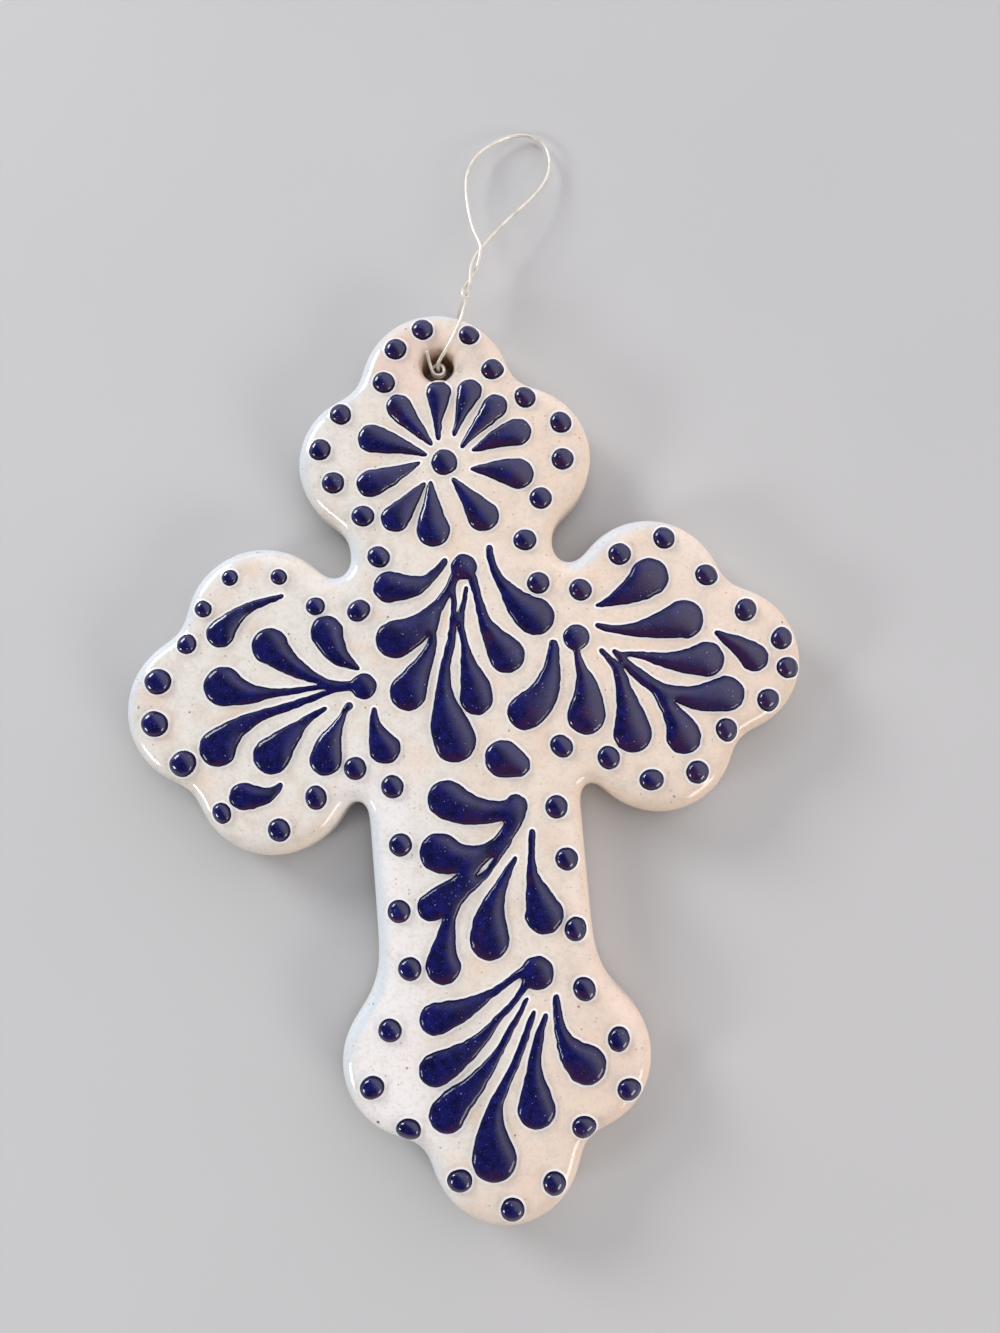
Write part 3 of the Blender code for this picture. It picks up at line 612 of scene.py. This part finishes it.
def membrane(spots, triangles, fixed):
    """How high a membrane over these triangles swells when its fixed points are held down."""
    corners = spots[triangles]
    size = len(spots)
    load = np.zeros(size)
    links = []
    for corner in range(3):
        here, left, right = (corners[:, (corner + k) % 3] for k in range(3))
        wide = (left - here).conj() * (right - here)
        area = np.abs(wide.imag) / 2
        load += np.bincount(triangles[:, corner], area / 3, size)
        pull = np.clip(wide.real / np.maximum(4 * area, LEAST_AREA), 0, MOST_PULL)
        a, b = triangles[:, (corner + 1) % 3], triangles[:, (corner + 2) % 3]
        links += [(a, b, pull), (b, a, pull)]
    to, out, pull = (np.concatenate(part) for part in zip(*links))
    own = np.bincount(to, pull, size)
    free = ~fixed

    def tension(height):
        return (own * height - np.bincount(to, pull * height[out], size)) * free

    height = np.zeros(size)
    left_over = load * free
    ahead, power = left_over.copy(), (left_over**2).sum()
    for _ in range(MOST_ROUNDS):
        drawn = tension(ahead)
        share = power / max((ahead * drawn).sum(), LEAST_WORK)
        height += share * ahead
        left_over -= share * drawn
        before, power = power, (left_over**2).sum()
        if power < SETTLED:
            break
        ahead = left_over + power / before * ahead
    return np.maximum(height, 0)


def hole_axis():
    """Where the hanger's joint stands, in mm."""
    return [metres / MM for metres in frame["joints"][0]["pos_m"][:2]]


def edge_drop(inset):
    """How far the rounded front edge lies below the face, at a distance in from the outline."""
    share = np.clip(1 - inset / EDGE_WIDTH, 0, 1)
    return EDGE_DROP * (1 - (1 - share**EDGE_POWER) ** (1 / EDGE_POWER))


class Face:
    """The ceramic's outline, its hole and the height of its front face."""

    def __init__(self):
        points, triangles = welded("cross_body")
        level = np.abs(points[:, 2] - WALL_RING_LEVEL) < SAME_LEVEL
        edges = edges_of(triangles)
        ring = walk_ring(edges[level[edges].all(axis=1)])
        outline = points[ring, 0] + 1j * points[ring, 1]
        self.outline = soft_loop(outline[::way(outline)], OUTLINE_SPACING, OUTLINE_SOFTNESS)
        self.normals = loop_normals(self.outline)
        self.tree = tree_of(self.outline)
        self.hole = complex(*hole_axis())

    def inset(self, width):
        return self.outline - self.normals * width

    def height(self, spot):
        wave = noise.noise((spot.real / SWELL_SPAN, spot.imag / SWELL_SPAN, SWELL_SLICE))
        swell = SWELL * (wave - 0.5)
        dish = np.interp(abs(spot - self.hole), *zip(*HOLE_DISH))
        return FACE_LEVEL + swell - dish - float(edge_drop(distance(self.tree, spot)))


def add_object(name, data):
    """A new object in the scene."""
    thing = bpy.data.objects.new(name, data)
    bpy.context.scene.collection.objects.link(thing)
    return thing


def add_piece(
    name, points, faces, materials, body, replaced=(), values=None, material_index=None
):
    """A mesh with smooth shading, from points in mm, that rides on a body."""
    mesh = bpy.data.meshes.new(name)
    places = [tuple(np.array(point) * MM) for point in points]
    mesh.from_pydata(places, [], [tuple(map(int, face)) for face in faces])
    mesh.polygons.foreach_set("use_smooth", [True] * len(mesh.polygons))
    for material in materials:
        mesh.materials.append(material)
    if material_index is not None:
        mesh.polygons.foreach_set("material_index", material_index)
    for label, numbers in (values or {}).items():
        layer = mesh.attributes.new(label, "FLOAT", "POINT")
        layer.data.foreach_set("value", np.asarray(numbers, np.float32))
    piece = add_object(name, mesh)
    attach(piece, body)
    if replaced:
        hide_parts(*replaced)


def ring_faces(first, second, count):
    """Quads between two rings of points that start at the given numbers."""
    turn = [(i, (i + 1) % count) for i in range(count)]
    return [(first + i, first + j, second + j, second + i) for i, j in turn]


def make_ceramic(face, glaze):
    """The slab: its wall and rounded front edge, the hole, and then the front and the back."""
    points, faces, in_hole = [], [], []

    def ring(loop, heights, share=0.0):
        points.extend((spot.real, spot.imag, z) for spot, z in zip(loop, heights))
        in_hole.extend([share] * len(loop))
        return len(points) - len(loop)

    def skin(rings, count, outward):
        for lower, upper in zip(rings, rings[1:]):
            quads = ring_faces(lower, upper, count)
            faces.extend(quad if outward else quad[::-1] for quad in quads)

    foot = [
        (BACK_ROUND * (1 - math.sin(turn)), BACK_ROUND * (1 - math.cos(turn)))
        for turn in BACK_ROUND_TURNS
    ]
    upright = [(0, level) for level in WALL_LEVELS]
    count = len(face.outline)
    wall = [ring(face.inset(width), [z] * count) for width, z in [*foot, *upright]]
    for step in range(EDGE_STEPS + 1):
        loop = face.inset(EDGE_WIDTH * (step / EDGE_STEPS) ** EDGE_CROWDING)
        wall.append(ring(loop, map(face.height, loop)))
    skin(wall, count, True)

    around = unit_circle(HOLE_POINTS)
    bore = [ring(face.hole + radius * around, [z] * HOLE_POINTS, 1.0) for radius, z in HOLE_WALL]
    for radius, _ in HOLE_DISH:
        loop = face.hole + radius * around
        hole_reach = np.interp(radius, HOLE_REACH_RADII, (1.0, 0.0))
        bore.append(ring(loop, map(face.height, loop), hole_reach))
    skin(bore, HOLE_POINTS, False)

    for edge, eye, spacing, height in (
        (wall[-1], bore[-1], FACE_SPACING, face.height),
        (wall[0], bore[0], BACK_SPACING, lambda spot: 0.0),
    ):
        known = [*range(edge, edge + count), *range(eye, eye + HOLE_POINTS)]
        rim = np.array([complex(*points[i][:2]) for i in known])
        near = tree_of(rim)
        clear = abs(rim[-1] - face.hole)
        grid = hex_grid(rim, spacing)
        grid = [
            spot for spot in grid[inside(rim[:count], grid)]
            if distance(near, spot) > GRID_MARGIN * spacing and abs(spot - face.hole) > clear
        ]
        spots, triangles = fill([rim[:count], rim[count:]], grid)
        number = known + [ring([spot], [height(spot)]) for spot in spots[len(known):]]
        turn = 1 if edge == wall[-1] else -1
        faces.extend([number[i] for i in triangle[::turn]] for triangle in triangles)
    add_piece(
        "ceramic_cross", points, faces, [glaze], "cross", ["cross_body"],
        {"hole": in_hole},
    )


def dome_parts(face, loops, rise, sheen=1.0):
    """One domed deposit with a clean rim of glaze round it.

    Gives its points, its faces, their material numbers and the points' attributes.
    """
    tree = tree_of(np.concatenate(loops))
    step = STROKE_SPACING
    ring = np.concatenate([loop - loop_normals(loop) * RING_INSET * step for loop in loops])
    ring = [spot for spot in ring[::2] if distance(tree, spot) > RING_MARGIN * step]
    grid = hex_grid(loops[0], DOME_GRID)
    grid = grid[within(loops, grid)]
    grid = [spot for spot in grid if distance(tree, spot) > DOME_MARGIN * step]
    spots, triangles = fill(loops, [*ring, *grid])
    depth = np.array([distance(tree, spot) for spot in spots])
    swell = membrane(spots, triangles, depth < ON_EDGE)
    swell = rise * (swell / swell.max()) ** DOME_POWER
    floor = np.array([face.height(spot) for spot in spots]) - DOME_ROOT
    points = [(s.real, s.imag, z) for s, z in zip(spots, floor + swell)]
    faces = [tuple(t) for t in triangles]
    kinds = [0] * len(faces)
    rim = [0.0] * len(points)
    depth = list(depth)
    for loop in loops:
        normals = loop_normals(loop)
        firsts = []
        for offset, lift, white in RIM_RINGS:
            firsts.append(len(points))
            around = loop + normals * offset
            points += [(s.real, s.imag, face.height(s) + lift) for s in around]
            rim += [white] * len(loop)
            depth += [0.0] * len(loop)
        for lower, upper in zip(firsts, firsts[1:]):
            quads = [quad[::-1] for quad in ring_faces(lower, upper, len(loop))]
            faces += quads
            kinds += [1] * len(quads)
    return points, faces, kinds, {"depth": depth, "rim": rim, "sheen": [sheen] * len(points)}


def node_loops(node, seed):
    """The softened outlines of a stroke's foot.

    The outer one comes first, then those of the gaps in it, which run the other way.
    """
    points, triangles = welded(node)
    spots = points[:, 0] + 1j * points[:, 1]
    low = points[:, 2] < points[:, 2].min() + SAME_LEVEL
    foot = triangles[low[triangles].all(axis=1)]
    loops = [spots[loop] for loop in walk_loops(rim_edges(foot)) if len(loop) > 3]
    outer = max(loops, key=lambda loop: abs(enclosed(loop)))
    loops = sorted((loop[::way(outer)] for loop in loops), key=enclosed, reverse=True)
    loops = [loop for i, loop in enumerate(loops) if i == 0 or enclosed(loop) < -LEAST_GAP]
    softness = STROKE_SOFTNESS * (DROP_SOFTENING if node == "loose_drop" else 1)
    soft = [soft_loop(loop, STROKE_SPACING, softness) for loop in loops]
    return [ragged(loop, seed + GAP_SEEDS * i) for i, loop in enumerate(soft)]


def make_strokes(face, enamel, glaze):
    """The fans, the flower and the loose drop, each stroke or spray a piece of its own."""
    rows = frame["record"]["subparts"]
    nodes = [row["node"] for row in rows if row["material_slot"] == "cobalt_enamel"]
    for seed, node in enumerate(sorted(nodes)):
        low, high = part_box(node)
        sheen = 1.0 if node in GLOSSY or node.startswith("flower") else 0.0
        rise = (high.z - low.z) / MM
        points, faces, kinds, values = dome_parts(face, node_loops(node, seed), rise, sheen)
        add_piece(
            f"{node}_enamel", points, faces, [enamel, glaze], "cross", [node],
            values, kinds,
        )


def dot_places():
    """The centre and radius of each border dot, and its rise."""
    points, triangles = welded("cross_body")
    raised = points[:, 2] > FACE_LEVEL + DOT_LEVEL
    group = np.arange(len(points))
    edges = edges_of(triangles)
    edges = edges[raised[edges].all(axis=1)]
    while True:
        least = np.minimum(group[edges[:, 0]], group[edges[:, 1]])
        before = group.copy()
        np.minimum.at(group, edges[:, 0], least)
        np.minimum.at(group, edges[:, 1], least)
        if (before == group).all():
            break
    places = []
    for name in np.unique(group[raised]):
        members = points[raised & (group == name)]
        middle = complex(*members[:, :2].mean(axis=0))
        radius = np.hypot(members[:, 0] - middle.real, members[:, 1] - middle.imag).max()
        places.append((middle, radius, members[:, 2].max() - FACE_LEVEL))
    return places


def make_dots(face, enamel, glaze):
    """The border dots, slightly oval, as one piece."""
    points, faces, kinds, values = [], [], [], {"depth": [], "rim": [], "sheen": []}
    turn = unit_circle(DOT_POINTS)
    for seed, (middle, radius, rise) in enumerate(dot_places()):
        chance = np.random.default_rng(DOT_SEEDS + seed)
        lean, oval = chance.uniform(0, math.pi), chance.uniform(0.0, DOT_OVAL)
        stretch = 1 + oval * np.cos(2 * (np.angle(turn) - lean))
        shape = soft_loop(DOT_SPREAD * radius * turn * stretch, DOT_SPACING, DOT_SOFTNESS)
        loop = ragged(shape + middle, seed, RAGGED / 2)
        more_points, more_faces, more_kinds, more_values = dome_parts(face, [loop], rise)
        first = len(points)
        points += more_points
        faces += [tuple(int(i) + first for i in corners) for corners in more_faces]
        kinds += more_kinds
        for name in values:
            values[name] += more_values[name]
    add_piece(
        "border_dots", points, faces, [enamel, glaze], "cross", (), values, kinds
    )


def wire_rings():
    """The rings of points round the wire, from the end that stands in the hole to the other."""
    points, triangles = welded("hanger_wire")
    beside = neighbours(edges_of(triangles))
    off_axis = np.linalg.norm(points[:, :2] - hole_axis(), axis=1)
    near = off_axis < WIRE_END_REACH
    lowest = points[:, 2] < points[near, 2].min() + WIRE_END_LEVEL
    ring = set(np.flatnonzero(near & lowest))
    seen, rings = set(ring), []
    while ring:
        rings.append(points[sorted(ring)])
        ring = {point for spot in ring for point in beside[spot]} - seen
        seen |= ring
    return rings


def make_wire(steel):
    """The hanger: a round tube along the middles of the CAD wire's rings."""
    rings = wire_rings()
    middles = [ring.mean(axis=0) for ring in rings]
    radius = np.linalg.norm(rings[0] - middles[0], axis=1).max()
    curve = bpy.data.curves.new("wire_hanger", "CURVE")
    curve.dimensions = "3D"
    curve.bevel_depth = radius * WIRE_SLIMMING * MM
    curve.bevel_resolution = WIRE_SIDES
    curve.use_fill_caps = True
    curve.resolution_u = WIRE_STEPS
    spline = curve.splines.new("NURBS")
    spline.points.add(len(middles) - 1)
    for spot, middle in zip(spline.points, middles):
        spot.co = (*(middle * MM), 1.0)
    spline.order_u = WIRE_ORDER
    spline.use_endpoint_u = True
    curve.materials.append(steel)
    wire = add_object("wire_hanger", curve)
    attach(wire, "hanger")
    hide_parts("hanger_wire")


def pale_floor():
    """The floor, at the level of the lowest point of the part."""
    material, place, surface = new_material("pale_floor")
    dress(surface, place, base_color=place.noise(60.0, 2.0).mix(*FLOOR_SHADES), roughness=0.7)
    corners = ((-1, -1), (1, -1), (1, 1), (-1, 1))
    mesh = bpy.data.meshes.new("floor")
    places = [(x * FLOOR_HALF, y * FLOOR_HALF, cad_box[0].z) for x, y in corners]
    mesh.from_pydata(places, [], [(0, 1, 2, 3)])
    mesh.materials.append(material)
    floor = add_object("floor", mesh)


def softbox(name, place, width, height, watts, colour, mirrored):
    """An area lamp that faces the middle of the cross."""
    lamp = bpy.data.lights.new(name, "AREA")
    lamp.shape = "RECTANGLE"
    lamp.size, lamp.size_y = width, height
    lamp.energy = watts
    lamp.color = colour
    thing = add_object(name, lamp)
    thing.location = place
    inward = Vector((0, 0, 0)) - Vector(place)
    thing.rotation_euler = inward.to_track_quat("-Z", "Y").to_euler()
    thing.visible_glossy = mirrored


def light():
    """A room that is bright to the upper right and has a pale wall to look at, and the lamps."""
    world = bpy.data.worlds.new("studio")
    world.use_nodes = True
    start = Shade(world.node_tree)
    right, up, over = start.node("ShaderNodeTexCoord", output="Generated").parts()
    room = (right + up * 0.6).step(-0.12, 0.5).mix(DIM_ROOM, BRIGHT_ROOM)
    rays = ("Is Camera Ray", "Is Glossy Ray", "Is Transmission Ray")
    camera, glossy, through = (start.node("ShaderNodeLightPath", output=ray) for ray in rays)
    pale_wall = (camera + glossy + through) * (1 - over.step(0.1, 0.5))
    background = world.node_tree.nodes["Background"]
    start.feed(background.inputs["Color"], pale_wall.mix(room, PALE_WALL))
    bpy.context.scene.world = world
    for name, values in SOFTBOXES.items():
        softbox(name, *values)


def photo_view():
    """The camera, placed and turned as for the photograph."""
    pitch, roll = CAMERA_PITCH, CAMERA_ROLL
    right = Vector((math.cos(roll), -math.sin(roll), 0))
    tilt = math.sin(pitch)
    back = Vector((-math.sin(roll) * tilt, -math.cos(roll) * tilt, math.cos(pitch)))
    up = back.cross(right)
    data = bpy.data.cameras.new("photo_view")
    data.sensor_width = SENSOR_WIDTH
    data.lens = FOCAL_PIXELS * SENSOR_WIDTH / IMAGE_LONG_SIDE
    data.clip_start = CAMERA_NEAREST
    view = add_object("photo_view", data)
    turned = Matrix((right, up, back)).transposed().to_4x4()
    view.matrix_world = Matrix.Translation(CAMERA_PLACE) @ turned
    bpy.context.scene.camera = view


def main():
    bpy.context.scene.view_settings.view_transform = "Standard"
    # What a new file starts with
    for name in ("Cube", "Light", "Camera"):
        if name in bpy.data.objects:
            bpy.data.objects.remove(bpy.data.objects[name])
    glaze, enamel, steel = white_glaze(), cobalt_enamel(), hanger_steel()
    face = Face()
    make_ceramic(face, glaze)
    make_strokes(face, enamel, glaze)
    make_dots(face, enamel, glaze)
    make_wire(steel)
    pale_floor()
    light()
    photo_view()


main()
